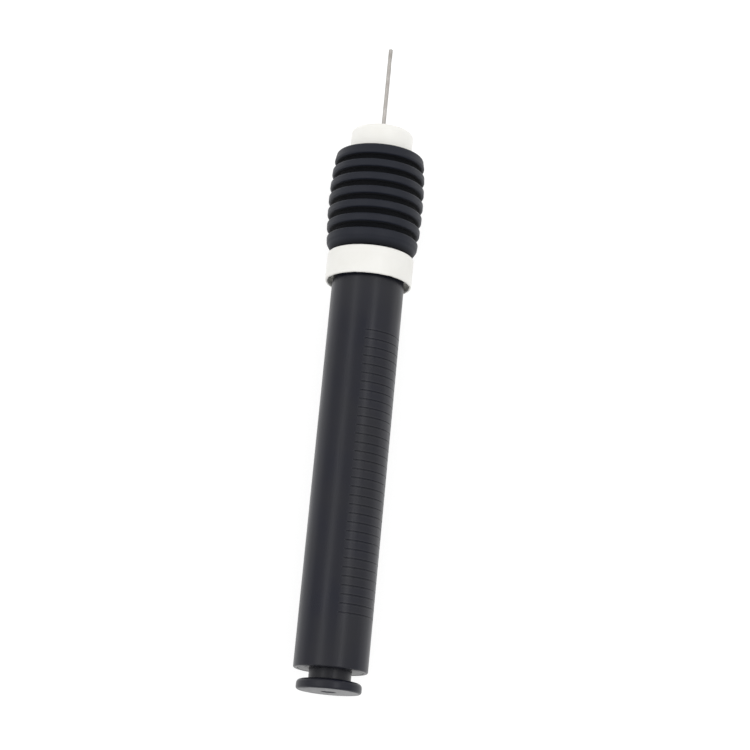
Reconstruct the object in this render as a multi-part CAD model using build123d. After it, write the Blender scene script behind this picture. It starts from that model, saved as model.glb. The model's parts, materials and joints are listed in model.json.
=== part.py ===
"""Hand pump for inflating balls: a barrel that slides over a hollow piston rod with a ribbed grip and a needle.

The pump lies on its side. Its axis runs along +Y, from the storage plug at the tail to the needle's tip,
and +Z is up. Every round piece is an outline of (radius, station) corners turned about that axis, where a
station is the distance along the axis from the storage plug's end face. All sizes are in millimetres.
The origin is on the surface that the pump lies on, under the middle of its length.
"""

from build123d import *
import math
import os

# ---------------------------------------------------------------- driving dimensions
BARREL_R = 13.0  # outside of the barrel tube
BARREL_BORE_R = 11.4
SEAT_R = 12.8  # the barrel is slimmer under the collar
ROD_R = 9.0  # outside of the hollow piston rod
ROD_BORE_R = 7.6
CORE_R = 4.9  # outside of the fixed core tube that the piston rides on
CORE_BORE_R = 4.1  # also the needle store
RUN = 0.05  # radial clearance of a running fit
TUCK = 0.02  # gap between pieces that are pressed or glued together

FLANGE_R, FLANGE_T = 11.4, 3.6  # pull knob of the storage plug
NECK_R, NECK_SHOWN = 7.4, 3.7
TAIL = FLANGE_T + NECK_SHOWN  # station of the barrel's tail face
COLLAR_REAR, COLLAR_FRONT, COLLAR_R = TAIL + 139.45, TAIL + 149.9, 15.65
STOP_GAP = 0.3  # between collar and grip with the pump closed
GRIP_REAR, GRIP_FRONT = COLLAR_FRONT + STOP_GAP, TAIL + 188.1
NOSE_R, NOSE_FRONT = 11.3, TAIL + 197.7
NEEDLE_R, NEEDLE_BORE_R, NEEDLE_TIP = 0.75, 0.45, TAIL + 231.0

RIB_COUNT, RIB_PITCH, RIB_WIDTH, RIB_DEPTH = 7, 5.16, 2.95, 2.4
FIRST_RIB = GRIP_REAR + 4.5  # station of the rearmost rib's middle
CROWN_R, CROWN_STATION, CROWN_ARC_R = 17.2, TAIL + 169.7, 165.0  # the grip swells along an arc
GRIP_BORE_R, GRIP_TAIL_R = 12.65, 14.4

LINE_COUNT, LINE_PITCH, FIRST_LINE = 33, 3.14, TAIL + 18.7  # fine engraved lines on the barrel
LINE_WIDTH, LINE_DEPTH = 0.35, 0.12
LINE_START_DEG, LINE_SPAN_DEG = 2.0, 84.0  # round the axis from the top towards +X

THREAD_R, SOCKET_R = 3.87, 3.95  # the needle's screw thread and the nose's socket

AXIS_HEIGHT = CROWN_R
TO_ROW = Location((0, -NEEDLE_TIP / 2, AXIS_HEIGHT))


# ---------------------------------------------------------------- helpers
def turned(*corners):
    """Solid of revolution about the pump's axis. A corner is (radius, station) or (radius, station, fillet)."""
    face = make_face(Polyline(*[corner[:2] for corner in corners], close=True))
    for corner in corners:
        if len(corner) == 3:
            at = Vector(corner[0], corner[1], 0)
            nearest = min(face.vertices(), key=lambda vertex: (Vector(vertex) - at).length)
            face = fillet(nearest, corner[2])
    return revolve(face, Axis.Y)


def ring(inner, outer, rear, front, rounding=0.0):
    """A plain or rounded ring about the pump's axis."""
    corners = [(inner, rear), (outer, rear), (outer, front), (inner, front)]
    if rounding:
        corners = [(*corner, rounding) for corner in corners]
    return turned(*corners)


def round_the_axis(tool, count, start_deg=0.0):
    """Copies of a tool placed above the axis, evenly spaced round it."""
    step = 360 / count
    return [Rot(0, start_deg + step * i, 0) * tool for i in range(count)]


def axial_hole(radius, at_radius, rear, front):
    """A cylinder along the axis, above it, for drilling from rear to front."""
    return Pos(0, (rear + front) / 2, at_radius) * Rot(90, 0, 0) * Cylinder(radius, front - rear)


def radial_hole(radius, station, reach):
    """A cylinder that stands out from the axis, straight up, at a station."""
    return Pos(0, station, reach / 2) * Cylinder(radius, reach)


# ---------------------------------------------------------------- barrel and its fixed pieces
COLLAR_WALL = COLLAR_FRONT - 2.9  # rear face of the collar's front wall
GUIDE_FLANGE_T = 1.4
BARREL_FRONT = COLLAR_WALL - GUIDE_FLANGE_T
GUIDE_REAR = BARREL_FRONT - 12.0
BEAD_R, BEAD_STATION = 0.5, COLLAR_REAR + 5.3  # snap bead that holds the collar on the barrel


def barrel_tube():
    tube = turned(
        (BARREL_BORE_R, TAIL, 0.3),
        (BARREL_R, TAIL, 0.6),
        (BARREL_R, COLLAR_REAR - 0.3),
        (SEAT_R, COLLAR_REAR - 0.25),
        (SEAT_R, BARREL_FRONT, 0.4),
        (BARREL_BORE_R, BARREL_FRONT),
    )
    bead = turned(
        (SEAT_R - 0.3, BEAD_STATION - BEAD_R),
        (SEAT_R, BEAD_STATION - BEAD_R),
        (SEAT_R + 0.4, BEAD_STATION, 0.2),
        (SEAT_R, BEAD_STATION + BEAD_R),
        (SEAT_R - 0.3, BEAD_STATION + BEAD_R),
    )
    return tube + bead - engraved_lines()


def engraved_lines():
    """Fine grip lines across one quarter of the barrel."""
    lines = []
    for i in range(LINE_COUNT):
        station = FIRST_LINE + LINE_PITCH * i
        section = Pos(BARREL_R, station, 0) * Rectangle(2 * LINE_DEPTH, LINE_WIDTH)
        arc = revolve(section, Axis.Y, revolution_arc=LINE_SPAN_DEG)
        lines.append(Rot(0, LINE_START_DEG - 90, 0) * arc)
    return lines


SKIRT_R, SKIRT_DEPTH = COLLAR_R - 0.9, 3.2  # the hollow under the collar's rear edge
NOTCH_COUNT, NOTCH_WIDTH, NOTCH_HEIGHT = 7, 1.9, 0.5


def barrel_collar():
    """White front collar. Its rear edge is a thin skirt that stands clear of the barrel, with small notches."""
    grip_r = SEAT_R + RUN
    wall = COLLAR_WALL
    rod_hole_r = ROD_R + 0.45
    collar = turned(
        (SKIRT_R, COLLAR_REAR, 0.25),
        (COLLAR_R, COLLAR_REAR, 0.5),
        (COLLAR_R, COLLAR_FRONT, 0.8),
        (rod_hole_r, COLLAR_FRONT, 0.3),
        (rod_hole_r, wall),
        (grip_r, wall),
        (grip_r, BEAD_STATION + BEAD_R + 0.1),
        (grip_r + 0.42, BEAD_STATION, 0.2),
        (grip_r, BEAD_STATION - BEAD_R - 0.1),
        (grip_r, COLLAR_REAR + SKIRT_DEPTH, 0.3),
        (SKIRT_R, COLLAR_REAR + SKIRT_DEPTH, 0.3),
    )
    notch = Pos(0, COLLAR_REAR, SKIRT_R) * Box(NOTCH_WIDTH, 2 * NOTCH_HEIGHT, 1.0)
    return collar - round_the_axis(notch, NOTCH_COUNT, start_deg=-21)


GUIDE_GROOVE = (GUIDE_REAR + 3.8, GUIDE_REAR + 6.0)
GUIDE_GROOVE_R = BARREL_BORE_R - 1.2
SEAL_POCKET_R, SEAL_POCKET_REAR = ROD_R + 1.8, BARREL_FRONT - 1.7


def rod_guide():
    body_r = BARREL_BORE_R - 0.08
    flange_r = SEAT_R - 0.05
    rear, front = GUIDE_REAR, BARREL_FRONT + GUIDE_FLANGE_T - TUCK
    return turned(
        (ROD_R + RUN, rear, 0.3),
        (body_r, rear, 0.4),
        (body_r, GUIDE_GROOVE[0]),
        (GUIDE_GROOVE_R, GUIDE_GROOVE[0]),
        (GUIDE_GROOVE_R, GUIDE_GROOVE[1]),
        (body_r, GUIDE_GROOVE[1]),
        (body_r, BARREL_FRONT + TUCK),
        (flange_r, BARREL_FRONT + TUCK),
        (flange_r, front),
        (SEAL_POCKET_R, front),
        (SEAL_POCKET_R, SEAL_POCKET_REAR),
        (ROD_R + RUN, SEAL_POCKET_REAR),
    )


def rod_guide_oring():
    return ring(GUIDE_GROOVE_R + TUCK, BARREL_BORE_R - TUCK, GUIDE_GROOVE[0] + 0.2, GUIDE_GROOVE[1] - 0.2, 0.5)


def rod_seal():
    """Lip seal that wipes the rod. Its V opens towards the barrel, so it also lets air in past the rod."""
    inner, outer = ROD_R + RUN, SEAL_POCKET_R - TUCK
    rear, front = SEAL_POCKET_REAR + TUCK, COLLAR_WALL - 0.1
    middle = (inner + outer) / 2
    return turned(
        (inner, rear),
        (inner + 0.35, rear),
        (middle, rear + 1.3, 0.15),
        (outer - 0.35, rear),
        (outer, rear),
        (outer, front),
        (inner, front, 0.3),
    )


CAP_FRONT = TAIL + 13.0
PLUG_BORE_R, PLUG_BORE_END = NECK_R + 0.1, TAIL + 7.0
CORE_REAR = PLUG_BORE_END + 1.0
CAP_GROOVE = (TAIL + 8.6, TAIL + 10.8)
CAP_GROOVE_R = BARREL_BORE_R - 1.1
INLET_COUNT, INLET_R, INLET_AT_R = 4, 0.8, 9.1


def tail_cap():
    outer = BARREL_BORE_R - RUN
    cap = turned(
        (PLUG_BORE_R, TAIL, 0.4),
        (outer, TAIL, 0.3),
        (outer, CAP_GROOVE[0]),
        (CAP_GROOVE_R, CAP_GROOVE[0]),
        (CAP_GROOVE_R, CAP_GROOVE[1]),
        (outer, CAP_GROOVE[1]),
        (outer, CAP_FRONT, 0.4),
        (CORE_R + TUCK, CAP_FRONT),
        (CORE_R + TUCK, CORE_REAR - TUCK),
        (CORE_BORE_R, CORE_REAR - TUCK),
        (CORE_BORE_R, PLUG_BORE_END),
        (PLUG_BORE_R, PLUG_BORE_END),
    )
    inlet = axial_hole(INLET_R, INLET_AT_R, TAIL - 1, CAP_FRONT + 1)
    return cap - round_the_axis(inlet, INLET_COUNT, start_deg=45)


def tail_cap_oring():
    return ring(CAP_GROOVE_R + TUCK, BARREL_BORE_R - TUCK, CAP_GROOVE[0] + 0.2, CAP_GROOVE[1] - 0.2, 0.45)


CORE_FRONT = TAIL + 133.0
CORE_PLUG_INSERT = 6.0


def core_tube():
    return ring(CORE_BORE_R, CORE_R, CORE_REAR, CORE_FRONT)


def core_end_plug():
    rear, front = CORE_FRONT - CORE_PLUG_INSERT, CORE_FRONT + 1.2
    return turned(
        (0, rear),
        (CORE_BORE_R - TUCK, rear, 0.6),
        (CORE_BORE_R - TUCK, CORE_FRONT + TUCK),
        (CORE_R, CORE_FRONT + TUCK),
        (CORE_R, front, 0.5),
        (0, front),
    )


DISC_T, DISC_LIFT = 0.8, 0.8
INLET_DISC_R = (7.5, 11.0)


def inlet_disc():
    """Floating rubber disc that covers the inlet holes and lifts forward to let air into the barrel."""
    rear = CAP_FRONT + TUCK
    return ring(*INLET_DISC_R, rear, rear + DISC_T, 0.15)


def inlet_stop_ring():
    """Push-on star ring on the core tube that limits the inlet disc's lift."""
    rear = CAP_FRONT + DISC_T + DISC_LIFT + 0.1
    stop = ring(CORE_R + TUCK, 8.7, rear, rear + 1.0)
    window = Pos(0, rear + 0.5, 7.6) * Box(2.6, 2, 3.0)
    return stop - round_the_axis(window, 6)


# ---------------------------------------------------------------- storage plug
PLUG_FRONT = TAIL + 6.6
PLUG_GROOVE = (TAIL + 3.0, TAIL + 5.0)
PLUG_GROOVE_R = NECK_R - 0.85
PLUG_SOCKET_REAR = 4.8
DIMPLE_R, DIMPLE_DEPTH = 2.9, 0.3


def storage_plug():
    """Pull-out plug with a flanged knob. Its front end is a socket for a needle's hub."""
    socket_r = THREAD_R + 0.08
    return turned(
        (0, DIMPLE_DEPTH),
        (DIMPLE_R - 0.5, DIMPLE_DEPTH, 0.3),
        (DIMPLE_R, 0, 0.2),
        (FLANGE_R, 0, 0.9),
        (FLANGE_R, FLANGE_T, 1.5),
        (NECK_R, FLANGE_T, 0.5),
        (NECK_R, PLUG_GROOVE[0]),
        (PLUG_GROOVE_R, PLUG_GROOVE[0]),
        (PLUG_GROOVE_R, PLUG_GROOVE[1]),
        (NECK_R, PLUG_GROOVE[1]),
        (NECK_R, PLUG_FRONT, 0.5),
        (socket_r, PLUG_FRONT, 0.4),
        (socket_r, PLUG_SOCKET_REAR),
        (0, PLUG_SOCKET_REAR),
    )


def storage_plug_oring():
    return ring(PLUG_GROOVE_R + TUCK, NECK_R + 0.04, PLUG_GROOVE[0] + 0.15, PLUG_GROOVE[1] - 0.15, 0.35)


# ---------------------------------------------------------------- piston and rod
PISTON_REAR = CAP_FRONT + 4.0
PISTON_WALL = PISTON_REAR + 6.0  # front face of the piston's wall, where the rod's end sits
PISTON_FRONT = PISTON_REAR + 12.0
OUTER_GROOVE = (PISTON_REAR + 2.2, PISTON_REAR + 4.9)
OUTER_GROOVE_R = 9.5
INNER_GROOVE = (PISTON_REAR + 2.4, PISTON_REAR + 4.4)
INNER_GROOVE_R = CORE_R + 1.0
DELIVERY_COUNT, DELIVERY_R, DELIVERY_AT_R = 4, 0.7, 6.75
PORT_COUNT, PORT_R, PORT_STATION = 4, 1.0, PISTON_FRONT + 3.5


def piston_head():
    outer = BARREL_BORE_R - 0.1
    bore = CORE_R + RUN
    socket = ROD_R + TUCK
    head = turned(
        (bore, PISTON_REAR, 0.3),
        (outer, PISTON_REAR, 0.5),
        (outer, OUTER_GROOVE[0]),
        (OUTER_GROOVE_R, OUTER_GROOVE[0]),
        (OUTER_GROOVE_R, OUTER_GROOVE[1]),
        (outer, OUTER_GROOVE[1]),
        (outer, PISTON_FRONT, 0.5),
        (socket, PISTON_FRONT, 0.3),
        (socket, PISTON_WALL),
        (bore, PISTON_WALL),
        (bore, INNER_GROOVE[1]),
        (INNER_GROOVE_R, INNER_GROOVE[1]),
        (INNER_GROOVE_R, INNER_GROOVE[0]),
        (bore, INNER_GROOVE[0]),
    )
    duct = axial_hole(DELIVERY_R, DELIVERY_AT_R, PISTON_REAR - 1, PISTON_WALL + 1)
    return head - round_the_axis(duct, DELIVERY_COUNT)


def piston_outer_seal():
    """Cup seal that runs in the barrel's bore. Its V faces both chambers in turn."""
    inner, outer = OUTER_GROOVE_R + 0.06, BARREL_BORE_R - 0.06
    rear, front = OUTER_GROOVE[0] + 0.1, OUTER_GROOVE[1] - 0.1
    middle = (inner + outer) / 2
    return turned(
        (inner, rear),
        (middle - 0.5, rear),
        (middle, rear + 0.7, 0.2),
        (middle + 0.5, rear),
        (outer, rear),
        (outer, front),
        (middle + 0.5, front),
        (middle, front - 0.7, 0.2),
        (middle - 0.5, front),
        (inner, front),
    )


def piston_inner_oring():
    return ring(CORE_R + 0.07, INNER_GROOVE_R - TUCK, INNER_GROOVE[0] + 0.1, INNER_GROOVE[1] - 0.1, 0.4)


def delivery_disc():
    """Floating rubber disc over the piston's ducts. It lifts forward to pass air into the rod."""
    rear = PISTON_WALL + TUCK
    return ring(5.6, ROD_BORE_R - 0.1, rear, rear + DISC_T, 0.15)


RETAINER_REAR = PISTON_WALL + DISC_T + DISC_LIFT + 0.1


def disc_retainer():
    rear = RETAINER_REAR
    retainer = ring(6.7, ROD_BORE_R - TUCK, rear, rear + 1.1)
    window = Pos(0, rear + 0.5, 6.7) * Box(2.4, 2.4, 1.2)
    return retainer - round_the_axis(window, 4)


def port_sleeve():
    """Thin rubber sleeve inside the rod. It seals the ports until the pull stroke pushes it inwards."""
    return ring(ROD_BORE_R - 0.65, ROD_BORE_R - TUCK, RETAINER_REAR + 1.2, PORT_STATION + 3.5)


ROD_FRONT = GRIP_REAR + 15.0


def rod_tube():
    tube = turned(
        (ROD_BORE_R, PISTON_WALL + TUCK),
        (ROD_R, PISTON_WALL + TUCK),
        (ROD_R, ROD_FRONT, 0.3),
        (ROD_BORE_R, ROD_FRONT),
    )
    return tube - round_the_axis(radial_hole(PORT_R, PORT_STATION, ROD_R + 1), PORT_COUNT, start_deg=45)


# ---------------------------------------------------------------- handle: core, grip and nose
CORE_BODY_R = GRIP_BORE_R - RUN
HANDLE_FRONT = GRIP_FRONT - 1.9
SPIGOT_R, SPIGOT_REAR = 8.9, HANDLE_FRONT - 13.0
NOSE_GROOVE = (SPIGOT_REAR + 2.6, SPIGOT_REAR + 4.6)
NOSE_GROOVE_R = SPIGOT_R - 0.9


def handle_core():
    throat_r = ROD_BORE_R
    return turned(
        (ROD_R + TUCK, GRIP_REAR, 0.4),
        (CORE_BODY_R, GRIP_REAR, 0.5),
        (CORE_BODY_R, HANDLE_FRONT),
        (SPIGOT_R + 0.06, HANDLE_FRONT),
        (SPIGOT_R + 0.06, SPIGOT_REAR - 0.5),
        (throat_r, SPIGOT_REAR - 0.5),
        (throat_r, ROD_FRONT + TUCK),
        (ROD_R + TUCK, ROD_FRONT + TUCK),
    )


def crown(station):
    """Radius of the grip's swelling outer envelope at a station."""
    off = station - CROWN_STATION
    return CROWN_R - CROWN_ARC_R + math.sqrt(CROWN_ARC_R**2 - off**2)


def grip_sleeve():
    """Ribbed rubber sleeve: flat-topped ribs on a body that swells in the middle."""
    corners = [
        (GRIP_BORE_R, GRIP_REAR),
        (GRIP_TAIL_R, GRIP_REAR, 0.4),
        (crown(GRIP_REAR + 3.3), GRIP_REAR + 3.3, 1.5),
    ]
    for i in range(RIB_COUNT):
        middle = FIRST_RIB + RIB_PITCH * i
        rear, front = middle - RIB_WIDTH / 2, middle + RIB_WIDTH / 2
        if i > 0:
            corners += [(crown(rear) - RIB_DEPTH, rear, 0.3), (crown(rear), rear, 0.75)]
        if i < RIB_COUNT - 1:
            corners += [(crown(front), front, 0.75), (crown(front) - RIB_DEPTH, front, 0.3)]
    lip_r = NOSE_R + 0.1
    corners += [
        (crown(GRIP_FRONT) - 0.35, GRIP_FRONT, 0.9),
        (lip_r, GRIP_FRONT, 0.3),
        (lip_r, HANDLE_FRONT + 0.1),
        (GRIP_BORE_R, HANDLE_FRONT + 0.1),
    ]
    return turned(*corners)


SOCKET_REAR = NOSE_FRONT - 9.5
AIRWAY_R = 1.4


def nose_cap():
    """White nose that screws into the handle core and holds the needle."""
    return turned(
        (6.2, SPIGOT_REAR, 0.4),
        (SPIGOT_R, SPIGOT_REAR, 0.5),
        (SPIGOT_R, NOSE_GROOVE[0]),
        (NOSE_GROOVE_R, NOSE_GROOVE[0]),
        (NOSE_GROOVE_R, NOSE_GROOVE[1]),
        (SPIGOT_R, NOSE_GROOVE[1]),
        (SPIGOT_R, HANDLE_FRONT + TUCK),
        (NOSE_R, HANDLE_FRONT + TUCK),
        (NOSE_R, NOSE_FRONT, 1.5),
        (SOCKET_R, NOSE_FRONT, 0.3),
        (SOCKET_R, SOCKET_REAR),
        (AIRWAY_R, SOCKET_REAR),
        (AIRWAY_R, SOCKET_REAR - 4.0),
        (6.2, SOCKET_REAR - 6.0, 0.8),
    )


def nose_oring():
    return ring(NOSE_GROOVE_R + TUCK, SPIGOT_R + 0.04, NOSE_GROOVE[0] + 0.15, NOSE_GROOVE[1] - 0.15, 0.4)


# ---------------------------------------------------------------- needle
HUB_REAR = SOCKET_REAR + 1.8
HUB_SPIGOT_R = 1.9
HUB_FRONT = NOSE_FRONT + 0.5
BOSS_FRONT = HUB_FRONT + 1.2
SOLDER_GROOVE = (BOSS_FRONT - 0.6, BOSS_FRONT + 0.1)  # relief in the tube where the hub's solder ends
SOLDER_GROOVE_R = 0.58
TUBE_REAR = HUB_REAR + 2.5
PORT_SLOT = (NEEDLE_TIP - 7.2, NEEDLE_TIP - 3.4)


def needle_oring():
    return ring(HUB_SPIGOT_R + RUN, SOCKET_R - 0.12, SOCKET_REAR + 0.1, HUB_REAR - 0.1, 0.5)


def needle_hub():
    """Threaded hub; its thread is a plain cylinder at the major diameter."""
    seat_r = NEEDLE_R + TUCK
    return turned(
        (NEEDLE_BORE_R, HUB_REAR - 1.4),
        (HUB_SPIGOT_R, HUB_REAR - 1.4, 0.2),
        (HUB_SPIGOT_R, HUB_REAR),
        (THREAD_R, HUB_REAR, 0.4),
        (THREAD_R, HUB_FRONT, 0.3),
        (2.1, HUB_FRONT),
        (1.5, BOSS_FRONT, 0.3),
        (seat_r, BOSS_FRONT),
        (seat_r, TUBE_REAR - TUCK),
        (NEEDLE_BORE_R, TUBE_REAR - TUCK),
    )


def needle_tube():
    """Slim tube with a closed round tip and one side port."""
    bore_end = NEEDLE_TIP - 1.6
    tube = turned(
        (NEEDLE_BORE_R, TUBE_REAR),
        (NEEDLE_R, TUBE_REAR),
        (NEEDLE_R, SOLDER_GROOVE[0]),
        (SOLDER_GROOVE_R, SOLDER_GROOVE[0]),
        (SOLDER_GROOVE_R, SOLDER_GROOVE[1]),
        (NEEDLE_R, SOLDER_GROOVE[1]),
        (NEEDLE_R, NEEDLE_TIP, 0.35),
        (0, NEEDLE_TIP),
        (0, bore_end),
        (NEEDLE_BORE_R, bore_end),
    )
    length = PORT_SLOT[1] - PORT_SLOT[0]
    port = Pos(1.0, sum(PORT_SLOT) / 2, 0) * Box(2.0, length, 0.7)
    return tube - port


# ---------------------------------------------------------------- write the parts
PARTS = [
    barrel_tube,
    barrel_collar,
    rod_guide,
    rod_guide_oring,
    rod_seal,
    tail_cap,
    tail_cap_oring,
    core_tube,
    core_end_plug,
    inlet_disc,
    inlet_stop_ring,
    storage_plug,
    storage_plug_oring,
    piston_head,
    piston_outer_seal,
    piston_inner_oring,
    delivery_disc,
    disc_retainer,
    port_sleeve,
    rod_tube,
    handle_core,
    grip_sleeve,
    nose_cap,
    nose_oring,
    needle_oring,
    needle_hub,
    needle_tube,
]

os.makedirs("parts", exist_ok=True)
for make in PARTS:
    export_step(TO_ROW * make(), f"parts/{make.__name__}.step")
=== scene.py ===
"""Looks for the ball inflation pump: procedural materials, moulding details, studio light and the camera.

Blender's units are metres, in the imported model's frame: the pump lies along +Y with its needle at +Y, +Z up.
Outlines of turned pieces are in mm, with stations measured along +Y from the barrel's tail face.
"""

import json
import math

import bmesh
import bpy
from mathutils import Matrix, Vector


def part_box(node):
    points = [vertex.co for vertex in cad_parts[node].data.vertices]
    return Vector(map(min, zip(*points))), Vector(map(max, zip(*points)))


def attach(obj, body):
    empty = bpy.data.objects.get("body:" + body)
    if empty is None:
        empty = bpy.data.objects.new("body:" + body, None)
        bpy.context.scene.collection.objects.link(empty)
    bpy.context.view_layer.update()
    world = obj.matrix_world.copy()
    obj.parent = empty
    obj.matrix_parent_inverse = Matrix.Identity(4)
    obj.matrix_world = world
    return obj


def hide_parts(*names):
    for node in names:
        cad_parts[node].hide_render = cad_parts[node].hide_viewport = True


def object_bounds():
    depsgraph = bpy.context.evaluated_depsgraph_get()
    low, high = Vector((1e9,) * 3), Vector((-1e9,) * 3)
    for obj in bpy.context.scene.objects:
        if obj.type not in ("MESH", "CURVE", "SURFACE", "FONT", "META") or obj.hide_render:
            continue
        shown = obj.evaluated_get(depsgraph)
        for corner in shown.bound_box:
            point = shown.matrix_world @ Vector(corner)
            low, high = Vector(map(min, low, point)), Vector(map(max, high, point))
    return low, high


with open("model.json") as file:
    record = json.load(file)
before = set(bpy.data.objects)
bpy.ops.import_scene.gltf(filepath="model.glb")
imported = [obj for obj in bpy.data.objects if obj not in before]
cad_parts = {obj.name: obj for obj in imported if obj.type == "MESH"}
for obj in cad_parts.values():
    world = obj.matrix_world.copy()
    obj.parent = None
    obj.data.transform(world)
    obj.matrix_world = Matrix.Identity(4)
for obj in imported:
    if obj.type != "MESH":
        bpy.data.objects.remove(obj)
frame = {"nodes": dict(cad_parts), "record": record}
CAD_BOX = [list(corner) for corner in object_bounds()]
MM = 0.001

# ---------------------------------------------------------------- places, from the frame
BARREL_LOW, BARREL_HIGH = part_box("barrel_tube")
AXIS_Z = (BARREL_LOW.z + BARREL_HIGH.z) / 2
TAIL_Y = BARREL_LOW.y
FLOOR_Z = CAD_BOX[0][2]

# ---------------------------------------------------------------- driving dimensions, mm
BARREL_R, SEAT_R, BORE_R = 13.0, 12.8, 11.4  # outside, under the collar, inside
BARREL_FRONT, SEAT_REAR, SEAT_STEP = 145.6, 139.15, 0.05
TAIL_FILLET, TAIL_CHAMFER, TAIL_CHAMFER_LENGTH = 0.6, 0.2, 0.3
PLAIN_STATION = 128.0  # a ring here keeps the worn look of the collar's step close to it

LINE_COUNT, LINE_PITCH, FIRST_LINE = 33, 3.14, 18.7  # the barrel's fine engraved lines
LINE_HALF, LINE_DEPTH, LINE_EDGE = 0.19, 0.19, 0.1
LINE_START, LINE_END, LINE_RUNOUT = math.radians(2), math.radians(86), math.radians(1.5)
BESIDE_LINE = (0.125, 0.175, 0.225, 0.235, 0.9)  # where rings lie on both sides of a line's middle

THREAD_R, THREAD_PITCH, THREAD_DEPTH = 3.87, 25.4 / 32, 0.42  # the needle hub's screw thread
THREAD_REAR, THREAD_FRONT, THREAD_STEPS, THREAD_RUNOUT = 190.0, 198.2, 140, 0.5
FLANK_SLOPE, CREST = 1.25, 0.12  # the steepness of its flanks and the share left flat on its crests
REAR_CHAMFER, FRONT_CHAMFER = 0.4, 0.3  # on the threaded stretch's two ends
SPIGOT_R, SPIGOT_LENGTH, SPIGOT_CHAMFER = 1.9, 1.4, 0.15
BOSS_REAR_R, BOSS_FRONT_R, BOSS_LENGTH, BOSS_CHAMFER = 2.1, 1.6, 1.2, 0.25
AIR_BORE_R, SOCKET_R, SOCKET_REAR = 0.45, 0.76, 192.5

CROWN_R, CROWN_STATION, CROWN_ARC_R = 17.2, 169.7, 165.0  # the grip's swelling envelope
GROOVE_SHALLOW, GROOVE_DEEP = 0.5, 1.6  # depths under it at which the grooves' painted shade and dull finish begin and are full


# ---------------------------------------------------------------- nodes
class Nodes:
    """A node tree with short calls for the nodes used here."""

    def __init__(self, tree):
        self.tree = tree

    def node(self, kind, **settings):
        made = self.tree.nodes.new(kind)
        for key, value in settings.items():
            setattr(made, key, value)
        return made

    def link(self, start, end):
        self.tree.links.new(start, end)

    def split(self, vector):
        made = self.node("ShaderNodeSeparateXYZ")
        self.link(vector, made.inputs[0])
        return made.outputs

    def object_coordinates(self, stretch=(1, 1, 1)):
        mapping = self.node("ShaderNodeMapping")
        mapping.inputs["Scale"].default_value = stretch
        self.link(self.node("ShaderNodeTexCoord").outputs["Object"], mapping.inputs["Vector"])
        return mapping.outputs["Vector"]

    def noise(self, scale, detail, stretch=(1, 1, 1)):
        made = self.node("ShaderNodeTexNoise")
        made.inputs["Scale"].default_value = scale
        made.inputs["Detail"].default_value = detail
        self.link(self.object_coordinates(stretch), made.inputs["Vector"])
        return made.outputs["Fac"]

    def curve(self, value, start, end, low=0.0, high=1.0):
        """Maps start..end to low..high, held at the ends."""
        made = self.node("ShaderNodeMapRange")
        for socket, number in zip(("From Min", "From Max", "To Min", "To Max"), (start, end, low, high)):
            made.inputs[socket].default_value = number
        self.link(value, made.inputs["Value"])
        return made.outputs["Result"]

    def math(self, operation, *values):
        made = self.node("ShaderNodeMath", operation=operation)
        for socket, value in zip(made.inputs, values):
            if isinstance(value, (int, float)):
                socket.default_value = value
            else:
                self.link(value, socket)
        return made.outputs[0]

    def blend_color(self, factor, first, second):
        made = self.node("ShaderNodeMix", data_type="RGBA")
        self.link(factor, made.inputs["Factor"])
        for name, value in (("A", first), ("B", second)):
            socket = next(one for one in made.inputs if one.name == name and one.type == "RGBA")
            if isinstance(value, tuple):
                socket.default_value = (*value, 1)
            else:
                self.link(value, socket)
        return next(one for one in made.outputs if one.type == "RGBA")


class Shader(Nodes):
    """A new material and its node tree."""

    def __init__(self, name, color, roughness, **sockets):
        self.material = bpy.data.materials.new(name)
        self.material.use_nodes = True
        super().__init__(self.material.node_tree)
        self.base = self.tree.nodes["Principled BSDF"]
        self.base.inputs["Base Color"].default_value = (*color, 1)
        self.base.inputs["Roughness"].default_value = roughness
        self.base.inputs["Subsurface Radius"].default_value = (1, 1, 1)
        for socket, value in sockets.items():
            self.base.inputs[socket.replace("_", " ")].default_value = value
        self.bumped = None

    def drive(self, socket, value):
        self.link(value, self.base.inputs[socket])

    def bump(self, height, strength, distance_mm):
        """Adds to the relief; several bumps lie over each other."""
        made = self.node("ShaderNodeBump")
        made.inputs["Strength"].default_value = strength
        made.inputs["Distance"].default_value = distance_mm * MM
        self.link(height, made.inputs["Height"])
        if self.bumped is not None:
            self.link(self.bumped, made.inputs["Normal"])
        self.bumped = made.outputs["Normal"]
        self.drive("Normal", self.bumped)

    def edge_wear(self, start=0.505, end=0.56):
        """0 on flat surfaces, 1 on sharp convex edges."""
        return self.curve(self.node("ShaderNodeNewGeometry").outputs["Pointiness"], start, end)


# ---------------------------------------------------------------- materials
ALONG = 0.03  # noise stretched along the pump by this scale on Y gives lengthwise lines


def black_plastic():
    """Satin black moulded plastic: fine spark-eroded grain, lengthwise handling scuffs, lighter worn edges."""
    shader = Shader("black_plastic", (0.006, 0.006, 0.010), 0.32, IOR=1.35)
    cloud = shader.noise(60, 3)
    scuff = shader.noise(900, 6, stretch=(1, 2 * ALONG, 1))
    tone = shader.blend_color(
        shader.curve(cloud, 0.35, 0.65), (0.0045, 0.0052, 0.0125), (0.0075, 0.0078, 0.0125)
    )
    worn = shader.math("MULTIPLY", shader.edge_wear(), 0.5)
    shader.drive("Base Color", shader.blend_color(worn, tone, (0.03, 0.03, 0.033)))
    matt = shader.curve(cloud, 0.3, 0.7, 0.27, 0.35)
    scuffed = shader.curve(scuff, 0.5, 0.75, 0.0, 0.10)
    shader.drive("Roughness", shader.math("ADD", matt, scuffed))
    shader.bump(shader.noise(4500, 2), 0.12, 0.02)
    shader.bump(scuff, 0.05, 0.02)
    return shader.material


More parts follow.
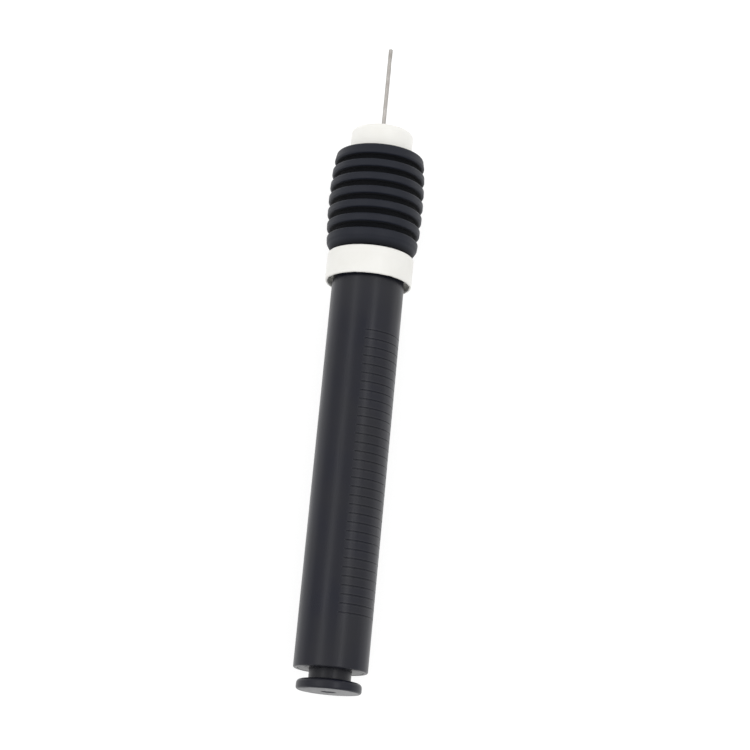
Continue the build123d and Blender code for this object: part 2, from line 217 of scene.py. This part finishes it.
def groove_mask(shader):
    """0 on the grip's swelling envelope, 1 down in its grooves."""
    x, y, z = shader.split(shader.object_coordinates())
    off = shader.math("SUBTRACT", y, TAIL_Y + CROWN_STATION * MM)
    sag = shader.math("MULTIPLY", shader.math("MULTIPLY", off, off), 0.5 / (CROWN_ARC_R * MM))
    height = shader.math("SUBTRACT", z, AXIS_Z)
    square = shader.math("ADD", shader.math("MULTIPLY", x, x), shader.math("MULTIPLY", height, height))
    envelope = shader.math("SUBTRACT", CROWN_R * MM, sag)
    depth = shader.math("SUBTRACT", envelope, shader.math("SQRT", square))
    return shader.curve(depth, GROOVE_SHALLOW * MM, GROOVE_DEEP * MM)


def grip_rubber():
    """Matt black rubber: soft sheen, faint bloom, a grain of fine pits, duller down in the grooves, which are also
    darkened with painted shade.
    """
    shader = Shader("grip_rubber", (0.005, 0.006, 0.010), 0.5, IOR=1.36, Sheen_Weight=0.03, Sheen_Roughness=0.4)
    bloom = shader.noise(150, 5)
    tone = shader.blend_color(shader.curve(bloom, 0.35, 0.7), (0.0035, 0.005, 0.012), (0.006, 0.008, 0.015))
    groove_shade_and_matt = groove_mask(shader)
    # Painted shade: down in the grooves the colour darkens to near black, standing in for the shade that falls
    # there.
    shader.drive("Base Color", shader.blend_color(groove_shade_and_matt, tone, (0.002, 0.0025, 0.004)))
    matt = shader.curve(bloom, 0.3, 0.7, 0.46, 0.58)
    shader.drive("Roughness", shader.math("ADD", matt, shader.math("MULTIPLY", groove_shade_and_matt, 0.3)))
    # Painted shade too: the specular level drops down in the grooves.
    shader.drive("Specular IOR Level", shader.curve(groove_shade_and_matt, 0.0, 1.0, 0.5, 0.32))
    shader.bump(shader.noise(3200, 3), 0.25, 0.04)
    shader.bump(shader.noise(700, 2), 0.10, 0.05)
    return shader.material


def white_plastic(name, light=1.0):
    """White moulded plastic: warm, satin, a trace of grime and flow shading; light scales its colours."""
    mean, clean, grimy = (
        tuple(light * part for part in color)
        for color in ((0.76, 0.755, 0.725), (0.77, 0.763, 0.73), (0.74, 0.732, 0.695))
    )
    shader = Shader(name, mean, 0.38, IOR=1.49, Subsurface_Weight=0.12, Subsurface_Scale=2 * MM)
    cloud = shader.noise(90, 4)
    shader.drive("Base Color", shader.blend_color(shader.curve(cloud, 0.4, 0.7), clean, grimy))
    shader.drive("Roughness", shader.curve(cloud, 0.3, 0.7, 0.32, 0.44))
    shader.bump(shader.noise(3500, 2), 0.06, 0.02)
    shader.bump(shader.noise(500, 3, stretch=(1, 0.15, 1)), 0.05, 0.03)
    return shader.material


def drawn_metal(name, color, roughness, stretch, wear_color):
    """Drawn or turned metal: fine lines along the work, dull patches."""
    shader = Shader(name, color, roughness, Metallic=1.0)
    lines = shader.noise(2500, 4, stretch=(1, stretch, 1))
    patch = shader.noise(220, 4)
    shader.drive("Base Color", shader.blend_color(shader.curve(patch, 0.4, 0.75), color, wear_color))
    lined = shader.curve(lines, 0.3, 0.7, roughness - 0.06, roughness + 0.06)
    dulled = shader.curve(patch, 0.4, 0.8, 0.0, 0.12)
    shader.drive("Roughness", shader.math("ADD", lined, dulled))
    shader.bump(lines, 0.10, 0.01)
    return shader.material


def soft_rubber(name, color):
    """Greased seal rubber."""
    shader = Shader(name, color, 0.45, IOR=1.5)
    shader.drive("Roughness", shader.curve(shader.noise(400, 3), 0.3, 0.7, 0.35, 0.6))
    shader.bump(shader.noise(2500, 2), 0.15, 0.03)
    return shader.material


def acetal():
    """Natural acetal: milky, waxy."""
    shader = Shader("acetal", (0.76, 0.74, 0.68), 0.4, IOR=1.48, Subsurface_Weight=0.2, Subsurface_Scale=2 * MM)
    shader.drive("Roughness", shader.curve(shader.noise(300, 3), 0.3, 0.7, 0.32, 0.5))
    shader.bump(shader.noise(1500, 3, stretch=(1, 6, 1)), 0.08, 0.02)
    return shader.material


MATERIALS = {
    "black_abs": black_plastic(),
    "white_abs": white_plastic("white_plastic"),
    "grip_rubber": grip_rubber(),
    "seal_rubber": soft_rubber("seal_rubber", (0.012, 0.012, 0.013)),
    "red_silicone": soft_rubber("red_silicone", (0.40, 0.045, 0.03)),
    "natural_acetal": acetal(),
    "core_aluminium": drawn_metal("core_aluminium", (0.74, 0.75, 0.77), 0.30, ALONG, (0.60, 0.61, 0.63)),
    "spring_steel": drawn_metal("spring_steel", (0.42, 0.41, 0.40), 0.32, 4, (0.30, 0.29, 0.28)),
    "nickel_plate": drawn_metal("nickel_plate", (0.62, 0.60, 0.56), 0.28, 8, (0.50, 0.47, 0.42)),
    "needle_steel": drawn_metal("needle_steel", (0.46, 0.44, 0.42), 0.34, ALONG, (0.34, 0.32, 0.30)),
}
NOSE_WHITE = white_plastic("white_plastic_nose", light=1.07)  # the nose's white is 1.07 times as light as the other white plastic


def dress_cad_nodes():
    """Gives each CAD node the material of its slot in the record."""
    for subpart in frame["record"]["subparts"]:
        node = frame["nodes"][subpart["node"]]
        node.data.materials.clear()
        node.data.materials.append(MATERIALS[subpart["material_slot"]])
    frame["nodes"]["nose_cap"].data.materials[0] = NOSE_WHITE


dress_cad_nodes()

# ---------------------------------------------------------------- turned pieces
SHARP_DEG = 38  # edges that turn more than this stay sharp in the shading


def lathe(name, outline, columns, body, slot, node, relief):
    """A closed turned piece in place of a CAD node.

    outline lists (radius, station, carved); relief(station, turn) is the depth taken off a carved ring, with turn
    running from +Z towards +X.
    """
    verts, faces = [], []
    for radius, station, carved in outline:
        for i in range(columns):
            turn = 2 * math.pi * i / columns
            here = (radius - relief(station, turn) if carved else radius) * MM
            verts.append((here * math.sin(turn), TAIL_Y + station * MM, AXIS_Z + here * math.cos(turn)))
    rings = len(outline)
    for j in range(rings):
        this, after = j * columns, (j + 1) % rings * columns
        for i in range(columns):
            n = (i + 1) % columns
            faces.append((this + i, this + n, after + n, after + i))
    mesh = bpy.data.meshes.new(name)
    mesh.from_pydata(verts, [], faces)
    work = bmesh.new()
    work.from_mesh(mesh)
    bmesh.ops.recalc_face_normals(work, faces=work.faces)
    work.to_mesh(mesh)
    work.free()
    mesh.shade_smooth()
    mesh.set_sharp_from_angle(angle=math.radians(SHARP_DEG))
    mesh.materials.append(MATERIALS[slot])
    piece = bpy.data.objects.new(name, mesh)
    bpy.context.scene.collection.objects.link(piece)
    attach(piece, body)
    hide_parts(node)


def held(value):
    """Holds a value between 0 and 1."""
    return min(1.0, max(0.0, value))


def uncarved(*points):
    """Rings that no relief is taken off."""
    return [(radius, station, False) for radius, station in points]


def tail_corner(steps=5):
    """The rounded corner between the barrel's tail face and its side."""
    radius, station = BARREL_R - TAIL_FILLET, TAIL_FILLET
    turns = [math.radians(90 * i / steps - 90) for i in range(steps + 1)]
    return uncarved(*((radius + TAIL_FILLET * math.cos(t), station + TAIL_FILLET * math.sin(t)) for t in turns))


def line_depth(station, turn):
    """Depth of the engraved lines: soft-edged across, running out at both ends."""
    near = (station - FIRST_LINE + LINE_PITCH / 2) % LINE_PITCH - LINE_PITCH / 2
    across = held((LINE_HALF + LINE_EDGE / 2 - abs(near)) / LINE_EDGE)
    turn = (turn + math.pi) % (2 * math.pi) - math.pi
    along = held(min(turn - LINE_START, LINE_END - turn) / LINE_RUNOUT)
    return LINE_DEPTH * across * along


def barrel_outline():
    """The barrel tube's section, its rings close together across the engraved lines."""
    rings = tail_corner()
    offsets = [-off for off in reversed(BESIDE_LINE)] + [0.0] + list(BESIDE_LINE)
    for i in range(LINE_COUNT):
        rings += [(BARREL_R, FIRST_LINE + LINE_PITCH * i + off, True) for off in offsets]
    rings += uncarved((BARREL_R, PLAIN_STATION), (BARREL_R, SEAT_REAR), (SEAT_R, SEAT_REAR + SEAT_STEP))
    rings += uncarved((SEAT_R, BARREL_FRONT), (BORE_R, BARREL_FRONT))
    return rings + uncarved((BORE_R, TAIL_CHAMFER_LENGTH), (BORE_R + TAIL_CHAMFER, 0.0))


def thread_depth(station, turn):
    """A right-handed screw thread that runs out at both chamfered ends of the hub."""
    behind, ahead = station - THREAD_REAR, THREAD_FRONT - station
    phase = (station / THREAD_PITCH - turn / (2 * math.pi)) % 1.0
    flank = held(abs(2 * phase - 1) * FLANK_SLOPE - CREST)
    runout = held(min(behind, ahead) / THREAD_RUNOUT)
    return max(THREAD_DEPTH * flank * runout, REAR_CHAMFER - behind, FRONT_CHAMFER - ahead)


def hub_outline():
    """The needle hub's section: spigot, screw thread, boss and, inside, the needle's socket over the air bore."""
    rear, front, length = THREAD_REAR - SPIGOT_LENGTH, THREAD_FRONT + BOSS_LENGTH, THREAD_FRONT - THREAD_REAR
    rings = uncarved((AIR_BORE_R, rear), (SPIGOT_R - SPIGOT_CHAMFER, rear), (SPIGOT_R, rear + SPIGOT_CHAMFER))
    rings += uncarved((SPIGOT_R, THREAD_REAR))
    rings += [(THREAD_R, THREAD_REAR + length * i / THREAD_STEPS, True) for i in range(THREAD_STEPS + 1)]
    rings += uncarved((BOSS_REAR_R, THREAD_FRONT), (BOSS_FRONT_R, front - BOSS_CHAMFER))
    rings += uncarved((BOSS_FRONT_R - BOSS_CHAMFER, front), (SOCKET_R, front))
    return rings + uncarved((SOCKET_R, SOCKET_REAR), (AIR_BORE_R, SOCKET_REAR))


lathe("barrel_skin", barrel_outline(), 360, "barrel", "black_abs", "barrel_tube", line_depth)
lathe("hub_thread", hub_outline(), 72, "needle", "nickel_plate", "needle_hub", thread_depth)

# ---------------------------------------------------------------- floor and light
FLOOR_SIZE, FLOOR_GLOW = 6.0, 0.78
WORLD_TAIL, WORLD_NEEDLE, WORLD_HORIZON = 0.72, 1.07, 0.72  # the surroundings' brightness, the last as a factor
BOX_DISTANCE, BOX_LENGTH, BOX_POWER = 1.1, 1.6, 2.4
BOX_BACK = math.radians(14.5)  # the softboxes stand this far towards the tail


def make_floor():
    """A glowing white sheet under the pump, so that only a faint contact shadow shows."""
    bpy.ops.mesh.primitive_plane_add(size=FLOOR_SIZE, location=(0, 0, FLOOR_Z))
    floor = bpy.context.object
    floor.name = "floor"
    shader = Shader("floor", (0.3, 0.3, 0.3), 0.9, Emission_Color=(1, 1, 1, 1), Emission_Strength=FLOOR_GLOW)
    shader.drive("Base Color", shader.blend_color(shader.noise(3, 2), (0.31, 0.31, 0.31), (0.28, 0.28, 0.28)))
    floor.data.materials.append(shader.material)


def make_world():
    """White surroundings: brighter ahead of the needle than behind the tail, and less bright towards the horizon."""
    world = bpy.data.worlds.new("studio")
    world.use_nodes = True
    nodes = Nodes(world.node_tree)
    background = nodes.tree.nodes["Background"]
    background.inputs["Color"].default_value = (1, 1, 1, 1)
    _, y, z = nodes.split(nodes.node("ShaderNodeTexCoord").outputs["Generated"])
    lengthwise = nodes.curve(y, start=-0.8, end=0.1, low=WORLD_TAIL, high=WORLD_NEEDLE)
    upwards = nodes.curve(z, start=0.0, end=0.5, low=WORLD_HORIZON)
    nodes.link(nodes.math("MULTIPLY", lengthwise, upwards), background.inputs["Strength"])
    bpy.context.scene.world = world


def softbox(name, degrees, width):
    """A long softbox beside the pump, at an angle round its axis from the side that faces the camera."""
    data = bpy.data.lights.new(name, "AREA")
    data.shape = "RECTANGLE"
    data.size, data.size_y = width, BOX_LENGTH
    data.energy = BOX_POWER
    turn = math.radians(degrees)
    out = Vector((math.sin(turn), -math.sin(BOX_BACK) * math.cos(turn), math.cos(BOX_BACK) * math.cos(turn)))
    across = Vector((0, 1, 0)).cross(out).normalized()
    facing = Matrix((across, out.cross(across), out)).transposed().to_4x4()
    light = bpy.data.objects.new(name, data)
    light.matrix_world = Matrix.Translation(Vector((0, 0, AXIS_Z)) + out * BOX_DISTANCE) @ facing
    bpy.context.scene.collection.objects.link(light)


make_floor()
make_world()
softbox("left_softbox", degrees=-36, width=0.34)
softbox("right_softbox", degrees=25, width=0.24)

# ---------------------------------------------------------------- camera
SENSOR_MM, LENS_MM = 36.0, 102.83
CLIP_NEAR, CLIP_FAR = 0.01, 20
TILT, LEAN = math.radians(14.387), math.radians(5.463)  # off square to the axis towards the tail, and the roll
TAIL_SEEN = Vector((-1.1835, 7.840, 56.783)) * BARREL_R * MM  # tail's centre in the camera: right, down, ahead


def make_camera():
    """Places the camera so that the barrel's tail and the pump's axis fall where TAIL_SEEN, TILT and LEAN say."""
    data = bpy.data.cameras.new("camera")
    data.sensor_width, data.lens = SENSOR_MM, LENS_MM
    data.clip_start, data.clip_end = CLIP_NEAR, CLIP_FAR
    camera = bpy.data.objects.new("camera", data)
    bpy.context.scene.collection.objects.link(camera)
    bpy.context.scene.camera = camera
    along = Vector((math.sin(LEAN) * math.cos(TILT), -math.cos(LEAN) * math.cos(TILT), math.sin(TILT)))
    toward = along * TAIL_SEEN.dot(along) - TAIL_SEEN
    up = toward.normalized()  # from the axis towards the camera, square to the axis
    side = along.cross(up)
    in_camera = Matrix((side, along, up)).transposed()  # frame's X, Y, Z in the camera's right, down, ahead
    flip = Matrix(((1, 0, 0), (0, -1, 0), (0, 0, -1)))
    turn = (flip @ in_camera).transposed()
    place = Vector((0, TAIL_Y, AXIS_Z)) - turn @ (flip @ TAIL_SEEN)
    camera.matrix_world = Matrix.Translation(place) @ turn.to_4x4()


make_camera()
bpy.context.scene.view_settings.view_transform = "Standard"
